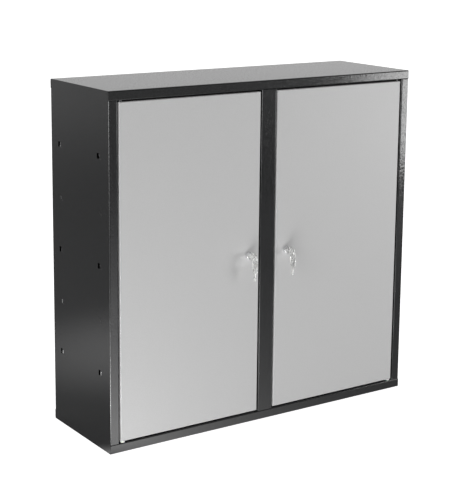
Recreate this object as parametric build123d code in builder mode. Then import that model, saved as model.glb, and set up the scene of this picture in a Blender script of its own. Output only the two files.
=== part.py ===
from build123d import *
import math
import os

# Wall cabinet of folded sheet steel with two inset doors, each on concealed pivot pins and held by a
# cam lock. The origin is at the centre of the underside. +X is to the right, the front faces -Y and
# +Z is up. All sizes are in millimetres.

# ---- Driving dimensions: body ----
width = 620.0
height = 600.0
depth = 200.0
sheet = 1.0                    # sheet thickness of every folded panel
bend = 2.0                     # outside radius of every fold
frame_width = 16.0             # face of the frame round the doors
frame_lip = 18.0               # how far the frame's folded edge runs back into the cabinet
rear_flange = 16.0
weld_tab = 12.0                # tabs of the side panels under the top and over the bottom
fit_gap = 0.5                  # clearance where one sheet ends beside another
mullion_width = 30.0
brim_width = 14.0              # the mullion's rear brims, which stop the doors

# ---- Driving dimensions: back panel and wall holes ----
back_margin = 1.5              # back panel to the walls, clear of their folds
wall_hole_diameter = 6.6       # clearance for 6 mm screws
wall_hole_spacing_x = 480.0
wall_hole_spacing_z = 480.0

# ---- Driving dimensions: shelf slots, shelves and clips ----
slot_width = 7.0
slot_height = 9.0
slot_levels = 5
slot_pitch = 90.4
slot_first_height = 131.0      # centre of the lowest slot
slot_front_inset = 36.0        # front slot column to the front face
slot_rear_inset = 29.0         # rear slot column to the rear face
dimple_size = 8.0              # legs of the three-cornered dimple beside each slot
dimple_depth = 0.6
dimple_slope = 40.0            # slope of the dimple's walls, from square to the sheet
shelf_slot_levels = {"lower": 1, "upper": 3}     # slot level, counted from 0, that carries each shelf
clip_sheet = 1.4
clip_width = 14.0
clip_leg = 20.0
clip_ledge = 11.0
clip_root = 0.5                # how far the ledge is let into the leg
clip_play = 0.2                # clip tongue inside its slot, each side
shelf_end_gap = 1.0
shelf_front_inset = 24.0       # shelf's front edge to the front face
shelf_rear_inset = 8.0
shelf_flange = 22.0
shelf_return = 10.0

# ---- Driving dimensions: doors and pivots ----
door_thickness = 16.0
door_hinge_gap = 3.0
door_mullion_gap = 2.5
door_end_gap = 2.5             # above and below the doors
door_lip = 12.0
pivot_from_edge = 5.0          # pivot axis to the door's hinge edge
pivot_from_face = 5.5          # pivot axis to the door's front face
pivot_pin_diameter = 5.0
pivot_pin_reach = 7.5          # pin beyond the door's end
pivot_pin_depth = 16.0         # pin inside the door's end
pivot_pin_chamfer = 0.5
pivot_play = 0.1               # radial, pin in bush
bush_diameter = 7.0
bush_flange_diameter = 9.5
bush_tail = 2.0
bush_door_gap = 0.2            # between the bush's flange and the door's end
block_width = 10.0
block_depth = 11.0
block_height = 20.0
block_chamfer = 1.2
stiffener_width = 24.0
stiffener_depth = 11.0
stiffener_brim = 12.0
stiffener_end_gap = 2.0
buffer_width = 9.0
buffer_height = 12.0
buffer_from_end = 90.0         # buffer centres to the door's ends

# ---- Driving dimensions: cam locks ----
lock_from_centre = 40.0        # lock axis to the cabinet's centre line
lock_height = 301.5
lock_head_diameter = 13.5
lock_head_height = 6.5
lock_head_taper = 0.5          # how much narrower, in radius, the head is at its front
lock_head_round = 0.6
lock_body_diameter = 12.0
lock_body_flats = 10.4
lock_body_length = 19.0
lock_hole_play = 0.1
nut_across_flats = 16.0
nut_thickness = 4.0
plug_diameter = 8.2
plug_play = 0.05               # radial, plug in housing
plug_disc_diameter = 9.8
plug_disc_thickness = 1.5
plug_recess = 0.3
plug_end = 1.0                 # plug beyond the housing's rear end
tail_square = 5.6
cam_thickness = 2.0
cam_width = 13.0
cam_reach = 24.0
cam_washer_diameter = 9.0
cam_washer_thickness = 0.8
cam_screw_diameter = 3.0
cam_screw_head_diameter = 6.0
cam_screw_head_height = 2.2
cam_screw_head_round = 0.6
cam_screw_length = 7.0
cam_screw_socket = 2.0
cam_screw_socket_depth = 1.2
wafer_count = 4
wafer_pitch = 2.7
wafer_first = 2.8              # plug's face to the first wafer's near side
wafer_thickness = 1.0
wafer_width = 4.6

# ---- Driving dimensions: keys and rings ----
key_thickness = 1.8
key_play = 0.2                 # key blade in the keyway, each side
key_blade_width = 5.6
key_blade_length = 13.0
key_cut_depth = 1.3
key_cut_shallow = 0.65         # depth of every second cut
key_cut_width = 2.0
key_tip = 1.6
key_face_gap = 0.4             # key's shoulder to the plug's face
key_neck_width = 7.6
key_neck_length = 3.0
key_bow_width = 14.0
key_bow_length = 15.2
key_bow_round = 5.0
key_hole_diameter = 4.5
key_hole_from_end = 4.2
ring_radius = 5.8              # to the middle of the wire
ring_wire = 1.2
ring_play = 0.25               # wire to the edge of the key's hole

# ---- Places worked out from the driving dimensions ----
half_width = width / 2
half_depth = depth / 2
mid_sheet = sheet / 2
bend_middle = bend - sheet / 2                # radius of a fold along the sheet's middle
bend_inside = bend - sheet
inner_width = width - 2 * sheet
opening_half_width = half_width - frame_width
opening_bottom = frame_width
opening_top = height - frame_width
lip_end = -half_depth + frame_lip             # rear edge of the frame's lips
brim_front = lip_end
mullion_half = mullion_width / 2
slot_columns = (-half_depth + slot_front_inset, half_depth - slot_rear_inset)

door_outer_x = opening_half_width - door_hinge_gap
door_inner_x = mullion_half + door_mullion_gap
door_middle_x = (door_outer_x + door_inner_x) / 2
door_width = door_outer_x - door_inner_x
door_bottom = opening_bottom + door_end_gap
door_top = opening_top - door_end_gap
door_height = door_top - door_bottom
door_rear = -half_depth + door_thickness
pivot_x = door_outer_x - pivot_from_edge
pivot_y = -half_depth + pivot_from_face

head_face = -half_depth - lock_head_height
plug_face = head_face + plug_recess
housing_end = -half_depth + lock_body_length
plug_shoulder = housing_end + plug_end
cam_rear = plug_shoulder + cam_thickness
washer_rear = cam_rear + cam_washer_thickness
keyway_width = key_thickness + 2 * key_play
keyway_height = key_blade_width + 2 * key_play
key_shoulder = plug_face - key_face_gap
keyway_end = key_shoulder + key_blade_length + key_play
key_length_to_hole = key_neck_length + key_bow_length - key_hole_from_end    # shoulder to hole centre
key_hole_y = key_shoulder - key_length_to_hole
ring_top = lock_height - key_hole_diameter / 2 + ring_wire / 2 + ring_play   # wire centre in the key
ring_middle = ring_top - ring_radius
ring_bottom = ring_middle - ring_radius
spare_hole_z = ring_bottom + ring_wire / 2 + ring_play - key_hole_diameter / 2

os.makedirs("parts", exist_ok=True)


def write(piece, name):
    """Label a finished piece and write it to its own STEP file."""
    piece.label = name
    export_step(piece, f"parts/{name}.step")


def mirrored(piece, about=Plane.YZ):
    """The same piece on the cabinet's other side."""
    with BuildPart() as other_side:
        mirror(piece, about=about)
    return other_side.part


def folded_section(plane, corners):
    """Section of a folded sheet on a plane; corners are the fold points of the sheet's middle line."""
    with BuildSketch(plane) as section:
        with BuildLine():
            FilletPolyline(*corners, radius=bend_middle)
        trace(line_width=sheet)
    return section.sketch


def slot_height_at(level):
    """Height of the centre of a slot level, counted from 0 at the bottom."""
    return slot_first_height + level * slot_pitch


# ---- Side panels ----
# A side panel is one sheet. Its front edge is folded into the frame's flange and again into the lip
# beside the door, its rear edge into a flange for the back panel. The wall runs on above and below
# the flanges, inside the top and bottom panels, and ends in tabs that are spot-welded to them.

def make_left_side_panel():
    wall_middle = -half_width + mid_sheet
    lip_middle = -opening_half_width - mid_sheet
    front_middle = -half_depth + mid_sheet
    profile = folded_section(
        Plane.XY.offset(opening_bottom),
        [
            (lip_middle, lip_end),
            (lip_middle, front_middle),
            (wall_middle, front_middle),
            (wall_middle, -front_middle),
            (-half_width + rear_flange, -front_middle),
        ],
    )
    with BuildPart() as panel:
        extrude(profile, amount=opening_top - opening_bottom, dir=(0, 0, 1))
        with BuildSketch(Plane.YZ.offset(-half_width)):
            with Locations((0, height / 2)):
                wall = Rectangle(depth - 2 * sheet - 2 * fit_gap, height - 2 * sheet)
            chamfer(wall.vertices(), bend)
        extrude(amount=sheet)
        tab_length = depth - 2 * frame_lip
        for tab_middle in (sheet + mid_sheet, height - sheet - mid_sheet):
            with Locations((-half_width + weld_tab / 2, 0, tab_middle)):
                Box(weld_tab, tab_length, sheet)
        # slots for the shelf clips, each with a pressed three-cornered dimple on its front side
        for slot_y in slot_columns:
            for level in range(slot_levels):
                slot_z = slot_height_at(level)
                with BuildSketch(Plane.YZ.offset(-half_width)):
                    with Locations((slot_y, slot_z)):
                        Rectangle(slot_width, slot_height)
                extrude(amount=sheet, mode=Mode.SUBTRACT)
                slot_edge = slot_y - slot_width / 2
                slot_foot = slot_z - slot_height / 2
                with BuildSketch(Plane.YZ.offset(-half_width)):
                    with BuildLine():
                        Polyline(
                            (slot_edge, slot_foot),
                            (slot_edge, slot_foot + dimple_size),
                            (slot_edge - dimple_size, slot_foot),
                            close=True,
                        )
                    make_face()
                extrude(amount=dimple_depth, taper=dimple_slope, mode=Mode.SUBTRACT)
    return panel.part


left_side_panel = make_left_side_panel()
write(left_side_panel, "left_side_panel")
write(mirrored(left_side_panel), "right_side_panel")


# ---- Top and bottom panels ----
# Each is one sheet that spans the full width. Its front flange is the frame's top or bottom and is
# folded back into a lip over the doors; its rear flange takes the back panel. The lip has the holes
# for the doors' pivot bushes and stops short of the side walls.

def make_top_panel():
    plate_middle = height - mid_sheet
    front_middle = -half_depth + mid_sheet
    lip_middle = opening_top + mid_sheet
    profile = folded_section(
        Plane.YZ.offset(-half_width),
        [
            (lip_end, lip_middle),
            (front_middle, lip_middle),
            (front_middle, plate_middle),
            (-front_middle, plate_middle),
            (-front_middle, height - rear_flange),
        ],
    )
    with BuildPart() as panel:
        extrude(profile, amount=width, dir=(1, 0, 0))
        lip_cut = sheet + fit_gap
        cut_front = -half_depth + sheet
        for side in (-1, 1):
            cut_middle_x = side * (half_width - lip_cut / 2)
            cut_depth = frame_lip
            with Locations((cut_middle_x, cut_front + cut_depth / 2, opening_top)):
                Box(lip_cut, cut_depth, 2 * (bend + sheet), mode=Mode.SUBTRACT)
        with BuildSketch(Plane.XY.offset(opening_top)):
            with Locations((-pivot_x, pivot_y), (pivot_x, pivot_y)):
                Circle(bush_diameter / 2)
        extrude(amount=sheet, mode=Mode.SUBTRACT)
    return panel.part


middle_height_plane = Plane.XY.offset(height / 2)
top_panel = make_top_panel()
write(top_panel, "top_panel")
write(mirrored(top_panel, middle_height_plane), "bottom_panel")


# ---- Back panel ----
# A flat sheet inside the rear flanges, with four holes for the wall screws.

with BuildPart() as back_panel:
    back_front = half_depth - 2 * sheet
    with BuildSketch(Plane.XZ.offset(-back_front)):
        with Locations((0, height / 2)):
            Rectangle(inner_width - 2 * back_margin, height - 2 * sheet - 2 * back_margin)
            with GridLocations(wall_hole_spacing_x, wall_hole_spacing_z, 2, 2):
                Circle(wall_hole_diameter / 2, mode=Mode.SUBTRACT)
    extrude(amount=-sheet)
back_panel.part.label = "back_panel"
export_step(back_panel.part, "parts/back_panel.step")


# ---- Centre mullion ----
# A hat section flush with the frame. Its brims stop both doors and run on behind the frame's lips to
# the top and bottom panels, where they are spot-welded.

with BuildPart() as centre_mullion:
    wall_middle = mullion_half - mid_sheet
    face_middle = -half_depth + mid_sheet
    brim_middle = brim_front + mid_sheet
    brim_outer = mullion_half + brim_width
    hat_section = folded_section(
        Plane.XY.offset(opening_bottom),
        [
            (-brim_outer, brim_middle),
            (-wall_middle, brim_middle),
            (-wall_middle, face_middle),
            (wall_middle, face_middle),
            (wall_middle, brim_middle),
            (brim_outer, brim_middle),
        ],
    )
    extrude(hat_section, amount=opening_top - opening_bottom, dir=(0, 0, 1))
    # the brims end in full-width tabs behind the lips, which run down into the hat section
    tab_height = frame_width - sheet + weld_tab
    for tab_middle in (sheet + tab_height / 2, height - sheet - tab_height / 2):
        with Locations((0, brim_middle, tab_middle)):
            Box(2 * brim_outer, sheet, tab_height)
centre_mullion.part.label = "centre_mullion"
export_step(centre_mullion.part, "parts/centre_mullion.step")


# ---- Shelves and their clips ----
# A shelf is a sheet with box folds along its front and rear edges. Its plain ends lie on four clips,
# whose tongues fill slots in the side panels.

def make_shelf(underside):
    with BuildPart() as shelf:
        shelf_half = half_width - sheet - clip_sheet - shelf_end_gap
        front = -half_depth + shelf_front_inset + mid_sheet
        rear = half_depth - shelf_rear_inset - mid_sheet
        plate_middle = underside + mid_sheet
        foot_middle = underside + sheet - shelf_flange + mid_sheet
        profile = folded_section(
            Plane.YZ.offset(-shelf_half),
            [
                (front + shelf_return, foot_middle),
                (front, foot_middle),
                (front, plate_middle),
                (rear, plate_middle),
                (rear, foot_middle),
                (rear - shelf_return, foot_middle),
            ],
        )
        extrude(profile, amount=2 * shelf_half, dir=(1, 0, 0))
    return shelf.part


def make_clips(slot_z):
    """Four clips at one slot level, as separate solids."""
    ledge_top = slot_z + clip_sheet / 2
    leg_face = half_width - sheet
    with BuildPart() as clips:
        for side in (-1, 1):
            for slot_y in slot_columns:
                with Locations((side * (leg_face - clip_sheet / 2), slot_y, slot_z)):
                    Box(clip_sheet, clip_width, clip_leg)
                ledge_middle = side * (leg_face - clip_sheet - clip_ledge / 2 + clip_root / 2)
                with Locations((ledge_middle, slot_y, ledge_top - clip_sheet / 2)):
                    Box(clip_ledge + clip_root, clip_width, clip_sheet)
                with Locations((side * (half_width - sheet / 2), slot_y, slot_z)):
                    Box(sheet, slot_width - 2 * clip_play, slot_height - 2 * clip_play)
    return clips.part


for shelf_name, level in shelf_slot_levels.items():
    clip_height = slot_height_at(level)
    write(make_shelf(clip_height + clip_sheet / 2), f"{shelf_name}_shelf")
    write(make_clips(clip_height), f"{shelf_name}_shelf_clips")


# ---- Pivot bushes ----
# Nylon bushes in the frame's lips. The lower ones have a flange in the gap, which carries the door.

def make_pivot_bushes():
    flange_height = door_end_gap - bush_door_gap
    with BuildPart() as bushes:
        with BuildSketch(Plane.XY.offset(opening_bottom)):
            with Locations((-pivot_x, pivot_y), (pivot_x, pivot_y)):
                Circle(bush_flange_diameter / 2)
                Circle(pivot_pin_diameter / 2 + pivot_play, mode=Mode.SUBTRACT)
        extrude(amount=flange_height)
        for foot, outward in ((opening_bottom, -1), (opening_top, 1)):
            with BuildSketch(Plane.XY.offset(foot)):
                with Locations((-pivot_x, pivot_y), (pivot_x, pivot_y)):
                    Circle(bush_diameter / 2)
                    Circle(pivot_pin_diameter / 2 + pivot_play, mode=Mode.SUBTRACT)
            extrude(amount=outward * bush_tail)
    return bushes.part


write(make_pivot_bushes(), "pivot_bushes")


# ---- Door buffers ----
# Rubber pads on the mullion's brims, two for each door.

with BuildPart() as door_buffers:
    pad_thickness = brim_front - door_rear
    pad_x = door_inner_x + buffer_width / 2
    pad_heights = (door_bottom + buffer_from_end, door_top - buffer_from_end)
    pads = [(side * pad_x, door_rear + pad_thickness / 2, z) for side in (-1, 1) for z in pad_heights]
    with Locations(*pads):
        Box(buffer_width, pad_thickness, buffer_height)
door_buffers.part.label = "door_buffers"
export_step(door_buffers.part, "parts/door_buffers.step")


# ---- Doors ----
# A door is a pan: its four edges are folded back and in again. Inside it are a hat-section stiffener
# and, in its two outer corners, welded blocks with the pivot pins. It is made for the left side.

def make_left_door_panel():
    door_front_middle = -half_depth + door_thickness / 2
    with BuildPart() as panel:
        with Locations((-door_middle_x, door_front_middle, height / 2)):
            Box(door_width, door_thickness, door_height)
        front_edges = panel.faces().sort_by(Axis.Y)[0].edges()
        fillet(front_edges, bend)
        with BuildPart(mode=Mode.PRIVATE) as hollow:
            with Locations((-door_middle_x, door_front_middle, height / 2)):
                Box(door_width - 2 * sheet, door_thickness - 2 * sheet, door_height - 2 * sheet)
            fillet(hollow.faces().sort_by(Axis.Y)[0].edges(), bend_inside)
        add(hollow.part, mode=Mode.SUBTRACT)
        lip_inset = sheet + door_lip
        with BuildSketch(Plane.XZ.offset(-door_rear)):
            with Locations((-door_middle_x, height / 2)):
                RectangleRounded(door_width - 2 * lip_inset, door_height - 2 * lip_inset, bend)
        extrude(amount=2 * sheet, mode=Mode.SUBTRACT)
        with BuildSketch(Plane.XY.offset(door_bottom)):
            with Locations((-pivot_x, pivot_y)):
                Circle(pivot_pin_diameter / 2)
        extrude(amount=door_height, mode=Mode.SUBTRACT)
        with BuildSketch(Plane.XZ.offset(half_depth)):
            with Locations((-lock_from_centre, lock_height)):
                Circle(lock_body_diameter / 2 + lock_hole_play)
                flats = lock_body_flats + 2 * lock_hole_play
                Rectangle(2 * lock_body_diameter, flats, mode=Mode.INTERSECT)
        extrude(amount=-sheet, mode=Mode.SUBTRACT)
    return panel.part


def make_left_stiffener():
    brim_middle = -half_depth + sheet + mid_sheet
    web_middle = brim_middle + stiffener_depth
    web_half = stiffener_width / 2
    brim_end = web_half + stiffener_brim
    foot = door_bottom + sheet + stiffener_end_gap
    profile = folded_section(
        Plane.XY.offset(foot),
        [
            (-door_middle_x - brim_end, brim_middle),
            (-door_middle_x - web_half, brim_middle),
            (-door_middle_x - web_half, web_middle),
            (-door_middle_x + web_half, web_middle),
            (-door_middle_x + web_half, brim_middle),
            (-door_middle_x + brim_end, brim_middle),
        ],
    )
    with BuildPart() as stiffener:
        extrude(profile, amount=height - 2 * foot, dir=(0, 0, 1))
    return stiffener.part


def make_left_pivot_blocks():
    block_x = -door_outer_x + sheet + block_width / 2
    block_y = -half_depth + sheet + block_depth / 2
    block_low = door_bottom + sheet + block_height / 2
    with BuildPart() as blocks:
        with Locations((block_x, block_y, block_low), (block_x, block_y, height - block_low)):
            Box(block_width, block_depth, block_height)
        chamfer(blocks.edges(), block_chamfer)
        with BuildSketch(Plane.XY):
            with Locations((-pivot_x, pivot_y)):
                Circle(pivot_pin_diameter / 2)
        extrude(amount=height, mode=Mode.SUBTRACT)
    return blocks.part


def make_left_pivot_pins():
    pin_foot = door_bottom - pivot_pin_reach
    pin_length = pivot_pin_reach + pivot_pin_depth
    with BuildPart() as pins:
        for foot in (pin_foot, height - pin_foot - pin_length):
            with BuildSketch(Plane.XY.offset(foot)):
                with Locations((-pivot_x, pivot_y)):
                    Circle(pivot_pin_diameter / 2)
            extrude(amount=pin_length)
        chamfer(pins.edges().filter_by(GeomType.CIRCLE), pivot_pin_chamfer)
    return pins.part


# ---- Locks ----
# The housing's head stands in front of the door and its flatted body goes through it to the nut. The
# plug turns in the housing and carries the wafers, and on its square tail the cam. Unlocked, the cam
# points up; a quarter turn swings it behind the mullion's brim.

def make_left_lock_housing():
    with BuildPart() as housing:
        with BuildSketch(Plane.XZ.offset(half_depth)):
            with Locations((-lock_from_centre, lock_height)):
                Circle(lock_head_diameter / 2)
        head_taper_angle = math.degrees(math.atan(lock_head_taper / lock_head_height))
        extrude(amount=lock_head_height, taper=head_taper_angle)
        front_rim = housing.faces().sort_by(Axis.Y)[0].edges()
        fillet(front_rim, lock_head_round)
        with BuildSketch(Plane.XZ.offset(half_depth)):
            with Locations((-lock_from_centre, lock_height)):
                Circle(lock_body_diameter / 2)
                Rectangle(2 * lock_body_diameter, lock_body_flats, mode=Mode.INTERSECT)
        extrude(amount=-lock_body_length)
        with BuildSketch(Plane.XZ.offset(-head_face)):
            with Locations((-lock_from_centre, lock_height)):
                Circle(plug_diameter / 2 + plug_play)
        extrude(amount=head_face - housing_end, mode=Mode.SUBTRACT)
        with BuildSketch(Plane.XZ.offset(-head_face)):
            with Locations((-lock_from_centre, lock_height)):
                Circle(plug_disc_diameter / 2 + plug_play)
        seat_depth = plug_recess + plug_disc_thickness + plug_play
        extrude(amount=-seat_depth, mode=Mode.SUBTRACT)
    return housing.part


def make_left_lock_nut():
    with BuildPart() as nut:
        with BuildSketch(Plane.XZ.offset(half_depth - sheet)):
            with Locations((-lock_from_centre, lock_height)):
                RegularPolygon(nut_across_flats / 2, 6, major_radius=False)
        extrude(amount=-nut_thickness)
        with BuildSketch(Plane.XZ.offset(half_depth - sheet)):
            with Locations((-lock_from_centre, lock_height)):
                Circle(lock_body_diameter / 2)
        extrude(amount=-nut_thickness, mode=Mode.SUBTRACT)
    return nut.part


def make_left_lock_plug():
    with BuildPart() as plug:
        with BuildSketch(Plane.XZ.offset(-plug_face)):
            with Locations((-lock_from_centre, lock_height)):
                Circle(plug_disc_diameter / 2)
        extrude(amount=-plug_disc_thickness)
        with BuildSketch(Plane.XZ.offset(-plug_face)):
            with Locations((-lock_from_centre, lock_height)):
                Circle(plug_diameter / 2)
        extrude(amount=plug_face - plug_shoulder)
        with BuildSketch(Plane.XZ.offset(-plug_shoulder)):
            with Locations((-lock_from_centre, lock_height)):
                Rectangle(tail_square, tail_square)
        extrude(amount=-cam_thickness)
        with BuildSketch(Plane.XZ.offset(-plug_face)):
            with Locations((-lock_from_centre, lock_height)):
                Rectangle(keyway_width, keyway_height)
        extrude(amount=plug_face - keyway_end, mode=Mode.SUBTRACT)
        for wafer_front in wafer_fronts():
            with BuildSketch(Plane.XZ.offset(-wafer_front)):
                with Locations((-lock_from_centre, lock_height)):
                    Rectangle(wafer_width, plug_diameter)
            extrude(amount=-wafer_thickness, mode=Mode.SUBTRACT)
        with BuildSketch(Plane.XZ.offset(-cam_rear)):
            with Locations((-lock_from_centre, lock_height)):
                Circle(cam_screw_diameter / 2)
        extrude(amount=cam_screw_length, mode=Mode.SUBTRACT)
    return plug.part


def wafer_fronts():
    """Where each wafer's front face is, from the plug's face inwards."""
    return [plug_face + wafer_first + index * wafer_pitch for index in range(wafer_count)]


def make_left_lock_wafers():
    with BuildPart() as wafers:
        for wafer_front in wafer_fronts():
            with BuildSketch(Plane.XZ.offset(-wafer_front)):
                with Locations((-lock_from_centre, lock_height)):
                    Circle(plug_diameter / 2)
                    Rectangle(wafer_width, plug_diameter, mode=Mode.INTERSECT)
                    Rectangle(keyway_width, keyway_height, mode=Mode.SUBTRACT)
            extrude(amount=-wafer_thickness)
    return wafers.part


def make_left_cam():
    with BuildPart() as cam:
        with BuildSketch(Plane.XZ.offset(-plug_shoulder)):
            with Locations((-lock_from_centre, lock_height)):
                Circle(cam_width / 2)
            arm_length = cam_reach - cam_width / 2
            with Locations((-lock_from_centre, lock_height + arm_length / 2)):
                Rectangle(cam_width, arm_length)
            with Locations((-lock_from_centre, lock_height + arm_length)):
                Circle(cam_width / 2)
            with Locations((-lock_from_centre, lock_height)):
                Rectangle(tail_square, tail_square, mode=Mode.SUBTRACT)
        extrude(amount=-cam_thickness)
    return cam.part


def make_left_cam_washer():
    with BuildPart() as washer:
        with BuildSketch(Plane.XZ.offset(-cam_rear)):
            with Locations((-lock_from_centre, lock_height)):
                Circle(cam_washer_diameter / 2)
                Circle(cam_screw_diameter / 2, mode=Mode.SUBTRACT)
        extrude(amount=-cam_washer_thickness)
    return washer.part


def make_left_cam_screw():
    with BuildPart() as screw:
        with BuildSketch(Plane.XZ.offset(-washer_rear)):
            with Locations((-lock_from_centre, lock_height)):
                Circle(cam_screw_head_diameter / 2)
        extrude(amount=-cam_screw_head_height)
        fillet(screw.faces().sort_by(Axis.Y)[-1].edges(), cam_screw_head_round)
        with BuildSketch(Plane.XZ.offset(-washer_rear)):
            with Locations((-lock_from_centre, lock_height)):
                Circle(cam_screw_diameter / 2)
        extrude(amount=cam_washer_thickness + cam_screw_length)
        with BuildSketch(Plane.XZ.offset(-washer_rear - cam_screw_head_height)):
            with Locations((-lock_from_centre, lock_height)):
                RegularPolygon(cam_screw_socket / 2, 6, major_radius=False)
        extrude(amount=cam_screw_socket_depth, mode=Mode.SUBTRACT)
    return screw.part


# ---- Keys and rings ----
# A key is a flat stamping: a cut blade, a neck and a rounded bow with a hole. Its sketch runs along
# the first axis from the tip, at 0, to the end of the bow, with its middle on the second axis's 0.

def make_key(key_plane):
    shoulder_at = key_blade_length
    bow_start = shoulder_at + key_neck_length
    bow_middle = bow_start + key_bow_length / 2
    hole_at = bow_start + key_bow_length - key_hole_from_end
    blade_half = key_blade_width / 2
    with BuildPart() as key:
        with BuildSketch(key_plane):
            with BuildLine():
                Polyline(
                    (0, -blade_half + key_tip),
                    (key_tip, -blade_half),
                    (shoulder_at, -blade_half),
                    (shoulder_at, blade_half),
                    (key_tip, blade_half),
                    (0, blade_half - key_tip),
                    close=True,
                )
            make_face()
            for index in range(wafer_count):
                cut_at = shoulder_at - wafer_first - key_face_gap - index * wafer_pitch
                cut_at -= wafer_thickness / 2
                depth_here = key_cut_shallow if index % 2 else key_cut_depth
                with BuildLine():
                    Polyline(
                        (cut_at - key_cut_width / 2, blade_half),
                        (cut_at, blade_half - depth_here),
                        (cut_at + key_cut_width / 2, blade_half),
                        close=True,
                    )
                make_face(mode=Mode.SUBTRACT)
            with Locations((shoulder_at + key_neck_length / 2, 0)):
                Rectangle(key_neck_length, key_neck_width)
            with Locations((bow_middle, 0)):
                RectangleRounded(key_bow_length, key_bow_width, key_bow_round)
            with Locations((hole_at, 0)):
                Circle(key_hole_diameter / 2, mode=Mode.SUBTRACT)
        extrude(amount=key_thickness / 2, both=True)
    return key.part


def make_left_key():
    tip = key_shoulder + key_blade_length
    return make_key(Plane(origin=(-lock_from_centre, tip, lock_height), x_dir=(0, -1, 0), z_dir=(1, 0, 0)))


def make_left_spare_key():
    tip_z = spare_hole_z - key_length_to_hole - key_blade_length
    return make_key(Plane(origin=(-lock_from_centre, key_hole_y, tip_z), x_dir=(0, 0, 1), z_dir=(1, 0, 0)))


def make_left_key_ring():
    ring_plane = Plane(origin=(-lock_from_centre, key_hole_y, ring_middle), x_dir=(1, 0, 0), z_dir=(0, -1, 0))
    with BuildPart() as ring:
        with Locations(ring_plane):
            Torus(ring_radius, ring_wire / 2)
    return ring.part


# ---- The doors with their locks and keys, left and right ----

left_door_pieces = {
    "door_panel": make_left_door_panel(),
    "door_stiffener": make_left_stiffener(),
    "pivot_blocks": make_left_pivot_blocks(),
    "pivot_pins": make_left_pivot_pins(),
    "lock_housing": make_left_lock_housing(),
    "lock_nut": make_left_lock_nut(),
    "lock_plug": make_left_lock_plug(),
    "lock_wafers": make_left_lock_wafers(),
    "lock_cam": make_left_cam(),
    "cam_washer": make_left_cam_washer(),
    "cam_screw": make_left_cam_screw(),
    "key": make_left_key(),
    "key_ring": make_left_key_ring(),
    "spare_key": make_left_spare_key(),
}
for piece_name, piece in left_door_pieces.items():
    write(piece, f"left_{piece_name}")
    write(mirrored(piece), f"right_{piece_name}")
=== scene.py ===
import math

import bmesh
import bpy
from mathutils import Matrix, Vector


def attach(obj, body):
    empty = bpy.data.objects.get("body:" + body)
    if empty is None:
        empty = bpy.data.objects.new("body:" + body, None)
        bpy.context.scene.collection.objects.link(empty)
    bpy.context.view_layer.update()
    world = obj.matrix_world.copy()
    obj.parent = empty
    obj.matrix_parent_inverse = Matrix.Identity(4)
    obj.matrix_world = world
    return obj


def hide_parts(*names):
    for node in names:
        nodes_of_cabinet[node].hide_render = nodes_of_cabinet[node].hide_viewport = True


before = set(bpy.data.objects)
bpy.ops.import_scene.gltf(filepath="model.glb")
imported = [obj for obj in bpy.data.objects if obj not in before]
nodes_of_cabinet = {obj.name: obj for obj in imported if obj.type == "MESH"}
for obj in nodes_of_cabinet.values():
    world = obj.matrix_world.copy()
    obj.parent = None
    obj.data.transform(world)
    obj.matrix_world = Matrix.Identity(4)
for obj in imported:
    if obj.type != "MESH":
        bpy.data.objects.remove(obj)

scene = bpy.context.scene
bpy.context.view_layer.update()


# ---- Camera ----
# A long lens at the cabinet's front left, a little above it, on a tripod that leans half a degree.
# The lens is shifted down so that the cabinet's upright edges stay nearly parallel.

camera_place = Vector((-1.3177, -1.9195, 0.8590))
camera_azimuth = math.radians(-33.8775)
camera_height_angle = math.radians(10.659)
camera_lean = math.radians(0.5162)
film_width = 36                # millimetres
focal_length = 96.39           # millimetres
shift_right = 0.0066           # share of the film's longer side
shift_up = -0.15
nearest_seen = 0.05
farthest_seen = 60

back = Vector((
    math.sin(camera_azimuth) * math.cos(camera_height_angle),
    -math.cos(camera_azimuth) * math.cos(camera_height_angle),
    math.sin(camera_height_angle),
))
level_right = Vector((math.cos(camera_azimuth), math.sin(camera_azimuth), 0))
level_up = back.cross(level_right)
right = level_right * math.cos(camera_lean) + level_up * math.sin(camera_lean)
up = level_up * math.cos(camera_lean) - level_right * math.sin(camera_lean)

lens = bpy.data.cameras.new("studio_camera")
lens.sensor_width = film_width
lens.lens = focal_length
lens.shift_x = shift_right
lens.shift_y = shift_up
lens.clip_start = nearest_seen
lens.clip_end = farthest_seen
camera = bpy.data.objects.new("studio_camera", lens)
turn = Matrix((right, up, back)).transposed()
camera.matrix_world = Matrix.Translation(camera_place) @ turn.to_4x4()
scene.collection.objects.link(camera)
scene.camera = camera


# ---- Studio ----
# A white floor that runs on into a white surround, brighter overhead and behind the cabinet. Softboxes
# stand front right and left, and a third shines up from below the floor at the front left. Polished
# surfaces see the floor as grey card, with bright reflectors lying on it at the left.

scene.view_settings.view_transform = "Standard"

floor_reach = 12               # from the middle of the floor to its sides
floor_squares = 8
floor_grey = 0.8
floor_roughness = 0.9
floor_glow_to_camera = 0.85
mirrored_floor_grey = 0.25
card_glow = 0.08               # radiance of the card, as mirrored
far_card_glow = 0.3            # added to it far from the cabinet
far_card_turn = (2.0, 5.0)     # where that comes up, metres from the cabinet's front left corner

front_left_corner = (-0.30, -0.10)
front_reflector_glow = 3.8     # radiance of the reflector in front of the doors, as mirrored
front_reflector_outward = (0.5, -0.866)
front_reflector_sideways = (0.866, 0.5)
front_reflector_near_edge = (-0.06, 0.06)
front_reflector_left_edge = (-0.55, -0.25)
front_reflector_even = 0.12    # evenly bright out to here
front_reflector_fade = 0.78    # then falls by a factor e in each such length
front_reflector_side_fade = 0.20

side_reflector_glow = 29.0     # radiance of the reflector at the front left, as mirrored
side_reflector_edge = (0.01, 0.06)
side_reflector_slant = 1.4     # it lies left of a line that runs so much left for each metre forward
side_reflector_slant_edge = (-0.02, 0.06)
side_reflector_even = 0.25
side_reflector_fade = 0.33
side_reflector_far_share = 0.30
side_reflector_far_turn = (0.9, 3.6)

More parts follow.
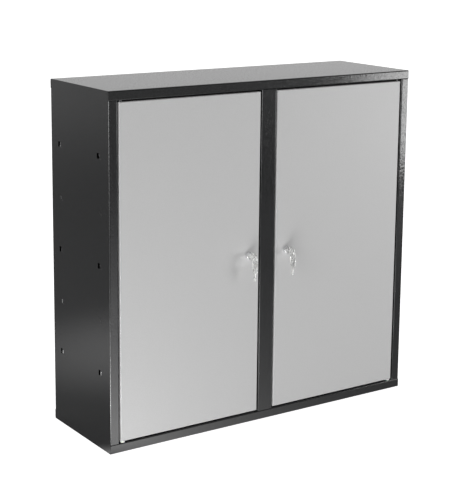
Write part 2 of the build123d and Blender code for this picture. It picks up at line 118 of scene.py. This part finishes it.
rear_left_place = (-0.66, 0.34)
rear_reflector_glow = 0.52     # radiance of the reflector at the rear left, as mirrored
rear_reflector_edge = (0.08, 0.36)

wall_way = (0.5, 0.866)        # towards the brighter wall
wall_turn = (-0.3, 0.9)
wall_dim, wall_bright = 0.08, 0.74
ceiling_turn = (0.35, 0.9)
ceiling_bright = 0.35


def number_node(tree, operation, first, second=None, third=None):
    """A Math node with its inputs set to numbers or linked to sockets; gives its output."""
    step = tree.nodes.new("ShaderNodeMath")
    step.operation = operation
    for socket, given in zip(step.inputs, (first, second, third)):
        if isinstance(given, (int, float)):
            socket.default_value = given
        elif given is not None:
            tree.links.new(given, socket)
    return step.outputs["Value"]


def product(tree, first, *others):
    """All the given values multiplied."""
    for other in others:
        first = number_node(tree, "MULTIPLY", first, other)
    return first


def distance(tree, first, second):
    """How far a place is, from its two distances at right angles."""
    squares = [product(tree, way, way) for way in (first, second)]
    return number_node(tree, "SQRT", number_node(tree, "ADD", *squares))


def along(tree, place, start, way):
    """How far a place lies from the start along a level way."""
    dot = tree.nodes.new("ShaderNodeVectorMath")
    dot.operation = "DOT_PRODUCT"
    dot.inputs[1].default_value = (*way, 0)
    tree.links.new(place, dot.inputs[0])
    return number_node(tree, "SUBTRACT", dot.outputs["Value"], start[0] * way[0] + start[1] * way[1])


def ramp(tree, given, between, start=0.0, end=1.0, course="SMOOTHSTEP"):
    """Goes from start to end while the given value goes between its two limits."""
    step = tree.nodes.new("ShaderNodeMapRange")
    step.interpolation_type = course
    step.inputs["From Min"].default_value = between[0]
    step.inputs["From Max"].default_value = between[1]
    step.inputs["To Min"].default_value = start
    step.inputs["To Max"].default_value = end
    tree.links.new(given, step.inputs["Value"])
    return step.outputs["Result"]


def fading(tree, given, begin, length):
    """Falls from 1 by a factor e in every length beyond the begin."""
    beyond = number_node(tree, "MAXIMUM", number_node(tree, "SUBTRACT", given, begin), 0.0)
    return number_node(tree, "EXPONENT", product(tree, beyond, -1 / length))


def seen_directly(tree):
    """1 for what the camera sees, straight or through glass."""
    ray = tree.nodes.new("ShaderNodeLightPath")
    return number_node(tree, "MAXIMUM", ray.outputs["Is Camera Ray"], ray.outputs["Is Transmission Ray"])


def new_material(name):
    """An empty material, with its tree, its shader and the places on its piece."""
    material = bpy.data.materials.new(name)
    material.use_nodes = True
    tree = material.node_tree
    place = tree.nodes.new("ShaderNodeTexCoord").outputs["Object"]
    return material, tree, tree.nodes["Principled BSDF"], place


def front_reflector(tree, place):
    """The share of its glow that the reflector before the doors has at a place on the floor."""
    outward = along(tree, place, front_left_corner, front_reflector_outward)
    sideways = along(tree, place, front_left_corner, front_reflector_sideways)
    return product(
        tree,
        fading(tree, outward, front_reflector_even, front_reflector_fade),
        fading(tree, sideways, 0.0, front_reflector_side_fade),
        ramp(tree, outward, front_reflector_near_edge),
        ramp(tree, sideways, front_reflector_left_edge),
    )


def side_reflector(tree, leftward, forward, from_corner):
    """The share of its glow that the reflector at the front left has at a place on the floor."""
    well_left = number_node(tree, "MULTIPLY_ADD", forward, -side_reflector_slant, leftward)
    far_end = ramp(tree, from_corner, side_reflector_far_turn, 0.0, side_reflector_far_share)
    near_end = fading(tree, from_corner, side_reflector_even, side_reflector_fade)
    return product(
        tree,
        ramp(tree, leftward, side_reflector_edge),
        ramp(tree, forward, side_reflector_edge),
        ramp(tree, well_left, side_reflector_slant_edge),
        number_node(tree, "ADD", near_end, far_end),
    )


def mirrored_floor_glow(tree, place):
    """The floor's radiance as polished surfaces see it."""
    leftward = along(tree, place, front_left_corner, (-1.0, 0.0))
    forward = along(tree, place, front_left_corner, (0.0, -1.0))
    from_corner = distance(tree, leftward, forward)
    from_rear_left = distance(
        tree,
        along(tree, place, rear_left_place, (1.0, 0.0)),
        along(tree, place, rear_left_place, (0.0, 1.0)),
    )
    rear_glow = ramp(tree, from_rear_left, rear_reflector_edge, rear_reflector_glow, 0.0)
    far_glow = ramp(tree, from_corner, far_card_turn, 0.0, far_card_glow)
    glow = number_node(tree, "ADD", number_node(tree, "ADD", rear_glow, far_glow), card_glow)
    for share, reflector_glow in (
        (front_reflector(tree, place), front_reflector_glow),
        (side_reflector(tree, leftward, forward, from_corner), side_reflector_glow),
    ):
        glow = number_node(tree, "MULTIPLY_ADD", share, reflector_glow, glow)
    return glow


floor_paint, tree, floor_shader, floor_place = new_material("studio_floor")
glossy_ray = tree.nodes.new("ShaderNodeLightPath").outputs["Is Glossy Ray"]
floor_shade = number_node(tree, "MULTIPLY_ADD", glossy_ray, mirrored_floor_grey - floor_grey, floor_grey)
floor_colour = tree.nodes.new("ShaderNodeCombineColor")
for channel in ("Red", "Green", "Blue"):
    tree.links.new(floor_shade, floor_colour.inputs[channel])
tree.links.new(floor_colour.outputs["Color"], floor_shader.inputs["Base Color"])
floor_shader.inputs["Roughness"].default_value = floor_roughness
mirrored_glow = product(tree, mirrored_floor_glow(tree, floor_place), glossy_ray)
floor_glow = number_node(tree, "MULTIPLY_ADD", seen_directly(tree), floor_glow_to_camera, mirrored_glow)
emission = tree.nodes.new("ShaderNodeEmission")
tree.links.new(floor_glow, emission.inputs["Strength"])
both = tree.nodes.new("ShaderNodeAddShader")
tree.links.new(floor_shader.outputs[0], both.inputs[0])
tree.links.new(emission.outputs[0], both.inputs[1])
tree.links.new(both.outputs[0], tree.nodes["Material Output"].inputs["Surface"])

floor_form = bmesh.new()
bmesh.ops.create_grid(floor_form, x_segments=floor_squares, y_segments=floor_squares, size=floor_reach)
floor_mesh = bpy.data.meshes.new("studio_floor")
floor_form.to_mesh(floor_mesh)
floor_form.free()
floor_mesh.materials.append(floor_paint)
floor = bpy.data.objects.new("studio_floor", floor_mesh)
floor.visible_shadow = False   # the lower softbox shines up through it
scene.collection.objects.link(floor)

surround = bpy.data.worlds.new("studio_surround")
surround.use_nodes = True
scene.world = surround
tree = surround.node_tree
tree.nodes.clear()
sky_way = tree.nodes.new("ShaderNodeTexCoord").outputs["Generated"]
wall_light = ramp(tree, along(tree, sky_way, (0, 0), wall_way), wall_turn, wall_dim, wall_bright)
sky_parts = tree.nodes.new("ShaderNodeSeparateXYZ")
tree.links.new(sky_way, sky_parts.inputs[0])
ceiling_light = ramp(tree, sky_parts.outputs["Z"], ceiling_turn, 0.0, ceiling_bright)
level = tree.nodes.new("ShaderNodeMix")
level.data_type = "FLOAT"
level.inputs["B"].default_value = 1.0
tree.links.new(seen_directly(tree), level.inputs["Factor"])
tree.links.new(number_node(tree, "ADD", wall_light, ceiling_light), level.inputs["A"])
air = tree.nodes.new("ShaderNodeBackground")
air.inputs["Color"].default_value = (1, 1, 1, 1)
tree.links.new(level.outputs["Result"], air.inputs["Strength"])
world_output = tree.nodes.new("ShaderNodeOutputWorld")
tree.links.new(air.outputs[0], world_output.inputs["Surface"])


def soft_lamp(name, place, aim, wide, high, radiance):
    """A flat soft lamp whose face has the given radiance, not itself seen by the camera."""
    lamp = bpy.data.lights.new(name, "AREA")
    lamp.shape = "RECTANGLE"
    lamp.size = wide
    lamp.size_y = high
    lamp.energy = radiance * math.pi * wide * high
    holder = bpy.data.objects.new(name, lamp)
    place, aim = Vector(place), Vector(aim)
    facing = (aim - place).to_track_quat("-Z", "Y")
    holder.matrix_world = Matrix.Translation(place) @ facing.to_matrix().to_4x4()
    holder.visible_camera = False
    scene.collection.objects.link(holder)
    return holder


soft_lamp(
    "right_softbox", place=(1.608, -1.286, 0.408), aim=(0, -0.1, 0.37),
    wide=0.62, high=0.60, radiance=9.4,
)
soft_lamp(
    "left_softbox", place=(-1.90, -1.00, 0.90), aim=(0, -0.1, 0.4),
    wide=1.0, high=1.3, radiance=3.6,
)
lower_softbox = soft_lamp(
    "lower_softbox", place=(-0.95, -1.15, -1.05), aim=(0, -0.1, 0.3),
    wide=1.3, high=1.3, radiance=3.75,
)
lower_softbox.data.cycles.use_multiple_importance_sampling = False


# ---- Body ----
# Folded 1 mm sheet steel: two sides, a top, a bottom, a back and the post between the doors, spot
# welded together and then powder coated in glossy anthracite with a fine hammered surface.

anthracite = (0.0115, 0.0118, 0.0125)
same_point = 0.000002          # facets whose points are this close belong together
real_corner = math.radians(32)  # a fold turns less than this from facet to facet
flat_weight = 100              # the larger of two faces rules the shading where they meet
flat_threshold = 0.01
dint_softness = 0.45
orange_peel_scale = 0.35       # waves to one dint
sheet_wave_scale = 5           # waves to a metre
sheet_wave_depth = 0.0003
dint_floor_to_rim = (0.0, 0.8)
mottle_scale = 1.1             # spots to one dint
mottle_spread = (0.38, 0.66)
mottle_dull_times = 3          # the dull spots differ so many times as much as the bright ones
refraction_index = 1.5


def rounded_folds():
    """Joins the panel's facets and shades them smoothly, except across its real corners."""
    group = bpy.data.node_groups.new("rounded_folds", "GeometryNodeTree")
    group.interface.new_socket("Geometry", in_out="INPUT", socket_type="NodeSocketGeometry")
    group.interface.new_socket("Geometry", in_out="OUTPUT", socket_type="NodeSocketGeometry")
    nodes, links = group.nodes, group.links
    bare = nodes.new("NodeGroupInput")
    joined = nodes.new("GeometryNodeMergeByDistance")
    joined.inputs["Distance"].default_value = same_point
    smooth = nodes.new("GeometryNodeSetShadeSmooth")
    smooth.domain = "FACE"
    corner = nodes.new("GeometryNodeInputMeshEdgeAngle")
    sharp = nodes.new("ShaderNodeMath")
    sharp.operation = "GREATER_THAN"
    sharp.inputs[1].default_value = real_corner
    creased = nodes.new("GeometryNodeSetShadeSmooth")
    creased.domain = "EDGE"
    creased.inputs["Shade Smooth"].default_value = False
    finished = nodes.new("NodeGroupOutput")
    links.new(bare.outputs[0], joined.inputs["Geometry"])
    links.new(joined.outputs["Geometry"], smooth.inputs["Geometry"])
    links.new(smooth.outputs["Geometry"], creased.inputs["Geometry"])
    links.new(corner.outputs["Unsigned Angle"], sharp.inputs[0])
    links.new(sharp.outputs[0], creased.inputs["Selection"])
    links.new(creased.outputs["Geometry"], finished.inputs[0])
    return group


fold_shading = rounded_folds()


def fold_smoothly(piece):
    """Shades a piece's folds smoothly and keeps the flats beside them flat."""
    folds = piece.modifiers.new("rounded_folds", "NODES")
    folds.node_group = fold_shading
    flats = piece.modifiers.new("flat_faces", "WEIGHTED_NORMAL")
    flats.mode = "FACE_AREA"
    flats.weight = flat_weight
    flats.thresh = flat_threshold
    flats.keep_sharp = True


def dress(part_names, coat):
    """Gives CAD parts their finish and smooth folds."""
    for part_name in part_names:
        part = nodes_of_cabinet[part_name]
        for material_slot in part.material_slots:
            material_slot.material = coat
        fold_smoothly(part)


def noise(tree, place, scale, detail):
    """A cloudy pattern between 0 and 1."""
    pattern = tree.nodes.new("ShaderNodeTexNoise")
    pattern.inputs["Scale"].default_value = scale
    pattern.inputs["Detail"].default_value = detail
    tree.links.new(place, pattern.inputs["Vector"])
    return pattern.outputs["Fac"]


def relief(tree, height, depth, under=None):
    """Turns a pattern into small heights, on a surface that may have larger ones."""
    bump = tree.nodes.new("ShaderNodeBump")
    bump.inputs["Strength"].default_value = 1.0
    bump.inputs["Distance"].default_value = depth
    tree.links.new(height, bump.inputs["Height"])
    if under is not None:
        tree.links.new(under, bump.inputs["Normal"])
    return bump.outputs["Normal"]


def tinted(tree, colour, share):
    """The colour, made lighter and darker by a share that varies round 1."""
    tint = tree.nodes.new("ShaderNodeMix")
    tint.data_type = "RGBA"
    tint.blend_type = "MULTIPLY"
    tint.inputs["Factor"].default_value = 1.0
    tint.inputs["A"].default_value = (*colour, 1)
    tree.links.new(share, tint.inputs["B"])
    return tint.outputs["Result"]


def hammered_paint(name, colour, dint, depth, roughness, speck, mottling):
    """Powder coat that dries into small smooth dints, with fine metal flake and slow waves below."""
    paint, tree, shader, place = new_material(name)
    dints = tree.nodes.new("ShaderNodeTexVoronoi")
    dints.feature = "SMOOTH_F1"
    dints.inputs["Scale"].default_value = 1 / dint
    dints.inputs["Smoothness"].default_value = dint_softness
    tree.links.new(place, dints.inputs["Vector"])
    from_dint = dints.outputs["Distance"]

    orange_peel = noise(tree, place, orange_peel_scale / dint, detail=3)
    sheet_wave = relief(tree, noise(tree, place, sheet_wave_scale, detail=1), sheet_wave_depth)
    surface = relief(tree, number_node(tree, "ADD", from_dint, orange_peel), depth, sheet_wave)
    tree.links.new(surface, shader.inputs["Normal"])

    flake = ramp(tree, from_dint, dint_floor_to_rim, 1 + speck, 1 - speck, "LINEAR")
    tree.links.new(tinted(tree, colour, flake), shader.inputs["Base Color"])

    brightest = roughness * (1 - mottling)
    dullest = roughness * (1 + mottle_dull_times * mottling)
    mottle = noise(tree, place, mottle_scale / dint, detail=1)
    gloss = ramp(tree, mottle, mottle_spread, brightest, dullest, "LINEAR")
    tree.links.new(gloss, shader.inputs["Roughness"])
    shader.inputs["IOR"].default_value = refraction_index
    return paint


body_paint = hammered_paint(
    "anthracite_hammered_paint", anthracite,
    dint=0.0030, depth=0.00008, roughness=0.11, speck=0.4, mottling=0.35,
)
dress(
    (
        "left_side_panel", "right_side_panel", "top_panel", "bottom_panel",
        "back_panel", "centre_mullion",
    ),
    body_paint,
)


# ---- Shelves and clips ----
# Two folded steel shelves, each on four pressed clips whose tongues fill slots in the side panels,
# all in the body's paint.

dress(("lower_shelf", "upper_shelf", "lower_shelf_clips", "upper_shelf_clips"), body_paint)


# ---- Doors ----
# Two pans of folded sheet steel, each with a pressed channel down its inside, powder coated in light
# grey with the same hammered surface, only finer and flatter.

door_grey = (0.53, 0.53, 0.53)
door_paint = hammered_paint(
    "light_grey_hammered_paint", door_grey,
    dint=0.0022, depth=0.00009, roughness=0.40, speck=0.02, mottling=0.1,
)
for side in ("left", "right"):
    dress((f"{side}_door_panel", f"{side}_door_stiffener"), door_paint)


# ---- Pivots ----
# Each door turns on two zinc-plated steel pins, pressed into blocks inside the door, coloured darker than
# zinc as painted shade for the door gaps they cross. The pins run in moulded white nylon bushes in the
# frame, and the lower bushes' flanges carry the door.

zinc_colour = (0.60, 0.61, 0.63)
# the pins' colour is far darker than zinc plate: painted shade, so they read as dark as the shaded door
# gaps
pin_colour_with_painted_shade = (0.16, 0.16, 0.165)
line_stretch = 0.08            # the rubbed lines' width as a share of their length
cloud_scale = 260              # clouds in the polish, to a metre
cloud_spread = (0.3, 0.7)
cloud_dark, cloud_light = 0.88, 1.06
nylon_dark = (0.74, 0.74, 0.71)
nylon_light = (0.86, 0.86, 0.84)
nylon_flow_scale = 500
nylon_flow_spread = (0.3, 0.7)
nylon_glossy, nylon_matt = 0.32, 0.46
nylon_light_share = 0.15       # of the light that sinks into the nylon
nylon_light_depth = 0.002


def plated_metal(name, colour, roughness, scratch_depth, line_scale, cloudiness):
    """Plated metal with fine rubbed lines, and slow clouds in its polish."""
    metal, tree, shader, place = new_material(name)
    shader.inputs["Metallic"].default_value = 1.0
    stretch = tree.nodes.new("ShaderNodeMapping")
    stretch.inputs["Scale"].default_value = (1, 1, line_stretch)
    tree.links.new(place, stretch.inputs["Vector"])
    lines = noise(tree, stretch.outputs["Vector"], line_scale, detail=4)
    tree.links.new(relief(tree, lines, scratch_depth), shader.inputs["Normal"])
    clouds = noise(tree, place, cloud_scale, detail=3)
    bright, dull = roughness * (1 - cloudiness), roughness * (1 + cloudiness)
    polish = ramp(tree, clouds, cloud_spread, bright, dull, "LINEAR")
    tree.links.new(polish, shader.inputs["Roughness"])
    tint = ramp(tree, clouds, cloud_spread, cloud_dark, cloud_light, "LINEAR")
    tree.links.new(tinted(tree, colour, tint), shader.inputs["Base Color"])
    return metal


def two_shades(tree, given, between, dark, light):
    """Goes from a dark shade to a light one."""
    shades = tree.nodes.new("ShaderNodeValToRGB")
    for stop, position, colour in zip(shades.color_ramp.elements, between, (dark, light)):
        stop.position = position
        stop.color = (*colour, 1)
    tree.links.new(given, shades.inputs["Fac"])
    return shades.outputs["Color"]


zinc_plate = plated_metal(
    "bright_zinc_plate", zinc_colour,
    roughness=0.32, scratch_depth=0.000004, line_scale=900, cloudiness=0.3,
)
# duller zinc for the pins, its dark colour painted shade for the door gaps they cross
dull_zinc_with_painted_shade = plated_metal(
    "dull_zinc_plate_with_painted_shade", pin_colour_with_painted_shade,
    roughness=0.5, scratch_depth=0.000004, line_scale=900, cloudiness=0.2,
)

nylon, tree, nylon_shader, place = new_material("white_nylon")
nylon_shader.inputs["Subsurface Weight"].default_value = nylon_light_share
nylon_shader.inputs["Subsurface Scale"].default_value = nylon_light_depth
flow = noise(tree, place, nylon_flow_scale, detail=3)
nylon_shade = two_shades(tree, flow, nylon_flow_spread, nylon_dark, nylon_light)
tree.links.new(nylon_shade, nylon_shader.inputs["Base Color"])
nylon_gloss = ramp(tree, flow, (0.0, 1.0), nylon_glossy, nylon_matt, "LINEAR")
tree.links.new(nylon_gloss, nylon_shader.inputs["Roughness"])

dress(("pivot_bushes",), nylon)
for side in ("left", "right"):
    dress((f"{side}_pivot_blocks",), zinc_plate)
    dress((f"{side}_pivot_pins",), dull_zinc_with_painted_shade)


# ---- Buffers ----
# Four small pads of black rubber, two for each door, moulded with rounded corners and a crowned
# face. They are stuck on the brims of the post, where they take the closing doors.

rubber_dark = (0.016, 0.016, 0.017)
rubber_light = (0.034, 0.034, 0.035)
rubber_spread = (0.35, 0.7)
rubber_grain_scale = 900
rubber_grain_depth = 0.00003
rubber_roughness = 0.75
rubber_shine = 0.35
buffer_size = (0.009, 0.002, 0.012)
buffer_corner = 0.0016
buffer_crown = 0.0014
buffer_middles_x = (-0.022, 0.022)
buffer_middles_z = (0.1085, 0.4915)
buffer_middle_y = -0.083
corner_steps = 5               # facets round each rounded corner or edge

rubber, tree, rubber_shader, place = new_material("black_rubber")
rubber_shader.inputs["Specular IOR Level"].default_value = rubber_shine
rubber_shader.inputs["Roughness"].default_value = rubber_roughness
bloom = noise(tree, place, rubber_grain_scale, detail=4)
rubber_shade = two_shades(tree, bloom, rubber_spread, rubber_dark, rubber_light)
tree.links.new(rubber_shade, rubber_shader.inputs["Base Color"])
tree.links.new(relief(tree, bloom, rubber_grain_depth), rubber_shader.inputs["Normal"])


def rounded(form, parts, radius, affect):
    """Rounds the given edges or corner points of a form."""
    bmesh.ops.bevel(
        form, geom=parts, offset=radius, segments=corner_steps, profile=0.5,
        affect=affect, material=-1,
    )


def finished_piece(name, form, coat, body, stands_for):
    """Makes the modelled form a piece of the cabinet, in its coat and on its body."""
    bmesh.ops.recalc_face_normals(form, faces=form.faces)
    mesh = bpy.data.meshes.new(name)
    form.to_mesh(mesh)
    form.free()
    mesh.materials.append(coat)
    piece = bpy.data.objects.new(name, mesh)
    scene.collection.objects.link(piece)
    fold_smoothly(piece)
    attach(piece, body)
    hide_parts(stands_for)


buffer_form = bmesh.new()
for middle_x in buffer_middles_x:
    for middle_z in buffer_middles_z:
        pad = bmesh.ops.create_cube(buffer_form, size=1)["verts"]
        bmesh.ops.scale(buffer_form, vec=buffer_size, verts=pad)
        bmesh.ops.translate(buffer_form, vec=(middle_x, buffer_middle_y, middle_z), verts=pad)
corners = [edge for edge in buffer_form.edges if edge.verts[0].co.y != edge.verts[1].co.y]
rounded(buffer_form, corners, buffer_corner, "EDGES")
crown = [edge for edge in buffer_form.edges if max(point.co.y for point in edge.verts) < buffer_middle_y]
rounded(buffer_form, crown, buffer_crown, "EDGES")
finished_piece("buffer_pads", buffer_form, rubber, "cabinet", "door_buffers")


# ---- Cam locks ----
# A chromed die-cast housing with a tapered head, held by a zinc-plated nut behind the door. The
# chromed plug carries brass wafers and, on its tail, a zinc-plated cam with its washer and screw.

brass_colour = (0.70, 0.52, 0.24)
chrome_colour = (0.78, 0.78, 0.79)
brass = plated_metal(
    "turned_brass", brass_colour,
    roughness=0.3, scratch_depth=0.000003, line_scale=1200, cloudiness=0.35,
)
chrome = plated_metal(
    "bright_chrome", chrome_colour,
    roughness=0.11, scratch_depth=0.0000015, line_scale=1500, cloudiness=0.3,
)
for side in ("left", "right"):
    dress((f"{side}_lock_housing", f"{side}_lock_plug"), chrome)
    dress((f"{side}_lock_wafers",), brass)
    dress((f"{side}_lock_nut", f"{side}_lock_cam", f"{side}_cam_washer", f"{side}_cam_screw"), zinc_plate)


# ---- Keys ----
# Flat nickel-plated stampings with a rounded bow, a coined panel round the hole, a cut blade and a
# milled groove. One key stands in each lock, and its spare hangs from it on a split ring.

key_colour = (0.86, 0.86, 0.85)
key_nickel = plated_metal(
    "key_nickel", key_colour,
    roughness=0.3, scratch_depth=0.000004, line_scale=1100, cloudiness=0.3,
)

lock_from_centre = 0.040
lock_height = 0.3015
key_shoulder_y = -0.1066
key_thickness = 0.0018
key_rim = 0.00018              # rounding of the key's edges
key_rim_slopes = (60, 30)      # degrees, from the key's side to its flat
key_mirror_merge = 0.000001
blade_length = 0.013
blade_half = 0.0028
blade_tip = 0.0016
tip_point_round = 0.0005
tip_side_round = 0.0004
tip_cut_side_round = 0.0003
cut_places = (0.0093, 0.0066, 0.0039, 0.0012)      # from the tip
cut_depths = (0.0013, 0.00065, 0.0013, 0.00065)
cut_half_width = 0.001
cut_round = 0.0001
neck_length = 0.003
neck_half = 0.0038
shoulder_round = 0.0003
neck_round = 0.0008
bow_length = 0.0152
bow_half = 0.007
bow_round = 0.005
bow_start_round = bow_round * 0.45
hole_radius = 0.00225
hole_from_end = 0.0042
hole_steps = 40
panel_depth = 0.00022
panel_margin = 0.0013
panel_end_margin = panel_margin * 0.75
panel_start_round = bow_round * 0.4
panel_end_round = bow_round * 0.8
groove_half = 0.00055
groove_depth = 0.0005
groove_start = 0.0009
groove_round = groove_half * 0.8
bow_start = blade_length + neck_length
bow_end = bow_start + bow_length
hole_at = bow_end - hole_from_end


def rounded_face(form, corners, height):
    """Draws a flat face through corners given as (along, across, corner radius)."""
    points = [form.verts.new((along, across, height)) for along, across, radius in corners]
    form.faces.new(points)
    for radius in sorted({corner[2] for corner in corners} - {0}):
        alike = [point for point, corner in zip(points, corners) if corner[2] == radius]
        rounded(form, alike, radius, "VERTICES")
    form.faces.ensure_lookup_table()
    return form.faces[-1]      # made anew by the rounding, so the last one


def four_corners(start, end, half, start_round, end_round):
    """The corners of an oblong with rounded ends, for rounded_face."""
    return [
        (start, -half, start_round),
        (end, -half, end_round),
        (end, half, end_round),
        (start, half, start_round),
    ]


def border_alone(form, face):
    """Takes away a face and leaves its border."""
    border = list(face.edges)
    bmesh.ops.delete(form, geom=[face], context="FACES_ONLY")
    return border


def sunk(form, border, depth):
    """Draws a wall straight down from a border; gives the wall's lower border."""
    drawn = bmesh.ops.extrude_edge_only(form, edges=border)["geom"]
    points = [item for item in drawn if isinstance(item, bmesh.types.BMVert)]
    bmesh.ops.translate(form, vec=(0, 0, -depth), verts=points)
    return [
        item for item in drawn
        if isinstance(item, bmesh.types.BMEdge) and set(item.verts) <= set(points)
    ]


def key_corners():
    """The key's outline: along one edge of blade, neck and bow, and back along the cut edge."""
    corners = [
        (0, -blade_half + blade_tip, tip_point_round),
        (blade_tip, -blade_half, tip_side_round),
        (blade_length, -blade_half, 0),
        (blade_length, -neck_half, shoulder_round),
        (bow_start, -neck_half, neck_round),
        (bow_start, -bow_half, bow_start_round),
        (bow_end, -bow_half, bow_round),
        (bow_end, bow_half, bow_round),
        (bow_start, bow_half, bow_start_round),
        (bow_start, neck_half, neck_round),
        (blade_length, neck_half, shoulder_round),
        (blade_length, blade_half, 0),
    ]
    for cut_at, cut_depth in zip(cut_places, cut_depths):
        corners.append((cut_at + cut_half_width, blade_half, 0))
        corners.append((cut_at, blade_half - cut_depth, cut_round))
        if cut_at != cut_places[-1]:
            corners.append((cut_at - cut_half_width, blade_half, 0))
    corners.append((0, blade_half - blade_tip, tip_cut_side_round))
    return corners


def rim_rounded(form, flat):
    """Rounds the key's edge with narrow slopes that go down outwards from its flat."""
    slope_length = key_rim / sum(math.cos(math.radians(slope)) for slope in key_rim_slopes)
    for slope in key_rim_slopes:
        bmesh.ops.inset_region(
            form, faces=[flat], use_boundary=True, use_even_offset=True,
            thickness=slope_length * math.cos(math.radians(slope)),
            depth=slope_length * math.sin(math.radians(slope)),
        )


def model_key(name, along, across, place, body):
    """One key, with its tip at the place, lying along and across the given ways."""
    form = bmesh.new()
    half = key_thickness / 2
    panel = border_alone(form, rounded_face(form, four_corners(
        bow_start + panel_margin, bow_end - panel_end_margin, bow_half - panel_margin,
        panel_start_round, panel_end_round,
    ), half))
    groove = border_alone(form, rounded_face(form, four_corners(
        groove_start, blade_length + neck_length / 2, groove_half, groove_round, groove_round,
    ), half))

    flat = rounded_face(form, key_corners(), half - key_rim)
    rim_rounded(form, flat)
    outer_edge = [
        edge for edge in form.edges if edge.is_boundary and edge.verts[0].co.z < half - key_rim / 2
    ]
    bmesh.ops.triangle_fill(form, use_beauty=True, edges=border_alone(form, flat) + panel + groove)
    sunk(form, outer_edge, half - key_rim)
    groove_floor = sunk(form, groove, groove_depth)
    bmesh.ops.edgeloop_fill(form, edges=groove_floor)
    panel_floor = sunk(form, panel, panel_depth)
    hole_points = bmesh.ops.create_circle(
        form, cap_ends=False, segments=hole_steps, radius=hole_radius,
        matrix=Matrix.Translation((hole_at, 0, half - panel_depth)),
    )["verts"]
    hole = list(dict.fromkeys(edge for point in hole_points for edge in point.link_edges))
    bmesh.ops.triangle_fill(form, use_beauty=True, edges=panel_floor + hole)
    sunk(form, hole, half - panel_depth)
    bmesh.ops.mirror(
        form, geom=form.verts[:] + form.edges[:] + form.faces[:], axis="Z", merge_dist=key_mirror_merge,
    )
    along, across = Vector(along), Vector(across)
    turn = Matrix((along, across, along.cross(across))).transposed()
    bmesh.ops.transform(form, matrix=Matrix.Translation(place) @ turn.to_4x4(), verts=form.verts)
    finished_piece(name, form, key_nickel, body, body)


sides = {"left": -lock_from_centre, "right": lock_from_centre}
for side, lock_x in sides.items():
    tip = (lock_x, key_shoulder_y + blade_length, lock_height)
    model_key(f"{side}_lock_key", (0, -1, 0), (0, 0, -1), tip, f"{side}_key")


# ---- Split rings ----
# Flat nickel-plated spring wire, wound twice round with its ends side by side. A ring hangs in the
# hole of each key that stands in a lock.

ring_radius = 0.0058
ring_wire_deep = 0.0010        # along the ring's radius
ring_wire_wide = 0.00045
ring_wire_round = 0.00012
ring_turns = 2
ring_steps = 128
ring_gap = 0.00008             # between the two turns
ring_cad_wire = 0.0012
ring_play = 0.00025
key_hole_y = key_shoulder_y - (hole_at - blade_length)
ring_top = lock_height - hole_radius + ring_cad_wire / 2 + ring_play
ring_middle = ring_top - ring_radius


def model_ring(name, ring_x, body):
    """A split ring: the wire's outline at the ring's foot, spun twice round with a lead."""
    form = bmesh.new()
    wire = border_alone(form, rounded_face(form, four_corners(
        -ring_wire_wide / 2, ring_wire_wide / 2, ring_wire_deep / 2, ring_wire_round, ring_wire_round,
    ), 0))
    lead = 2 * ring_wire_wide + ring_gap
    turn = Matrix(((0, 1, 0), (0, 0, 1), (1, 0, 0))).transposed()      # stands the outline up, facing X
    start = Matrix.Translation((ring_x, key_hole_y - lead / 2, ring_middle - ring_radius))
    bmesh.ops.transform(form, matrix=start @ turn.to_4x4(), verts=form.verts)
    bmesh.ops.spin(
        form, geom=form.verts[:] + wire, cent=(ring_x, key_hole_y, ring_middle), axis=(0, 1, 0),
        dvec=(0, lead / ring_steps, 0), angle=math.tau * ring_turns, steps=ring_steps,
        use_merge=False, use_duplicate=False,
    )
    bmesh.ops.holes_fill(form, edges=[edge for edge in form.edges if edge.is_boundary], sides=0)
    finished_piece(name, form, key_nickel, body, body)


for side, lock_x in sides.items():
    model_ring(f"{side}_split_ring", lock_x, f"{side}_key_ring")


# ---- Spare keys ----
# Each lock's second key, the same stamping as the one in the lock. It hangs by its hole in the foot
# of the split ring, with its blade down.

spare_hole_z = ring_middle - ring_radius + ring_cad_wire / 2 + ring_play - hole_radius
for side, lock_x in sides.items():
    tip = (lock_x, key_hole_y, spare_hole_z - hole_at)
    model_key(f"{side}_hanging_key", (0, 0, 1), (0, -1, 0), tip, f"{side}_spare_key")
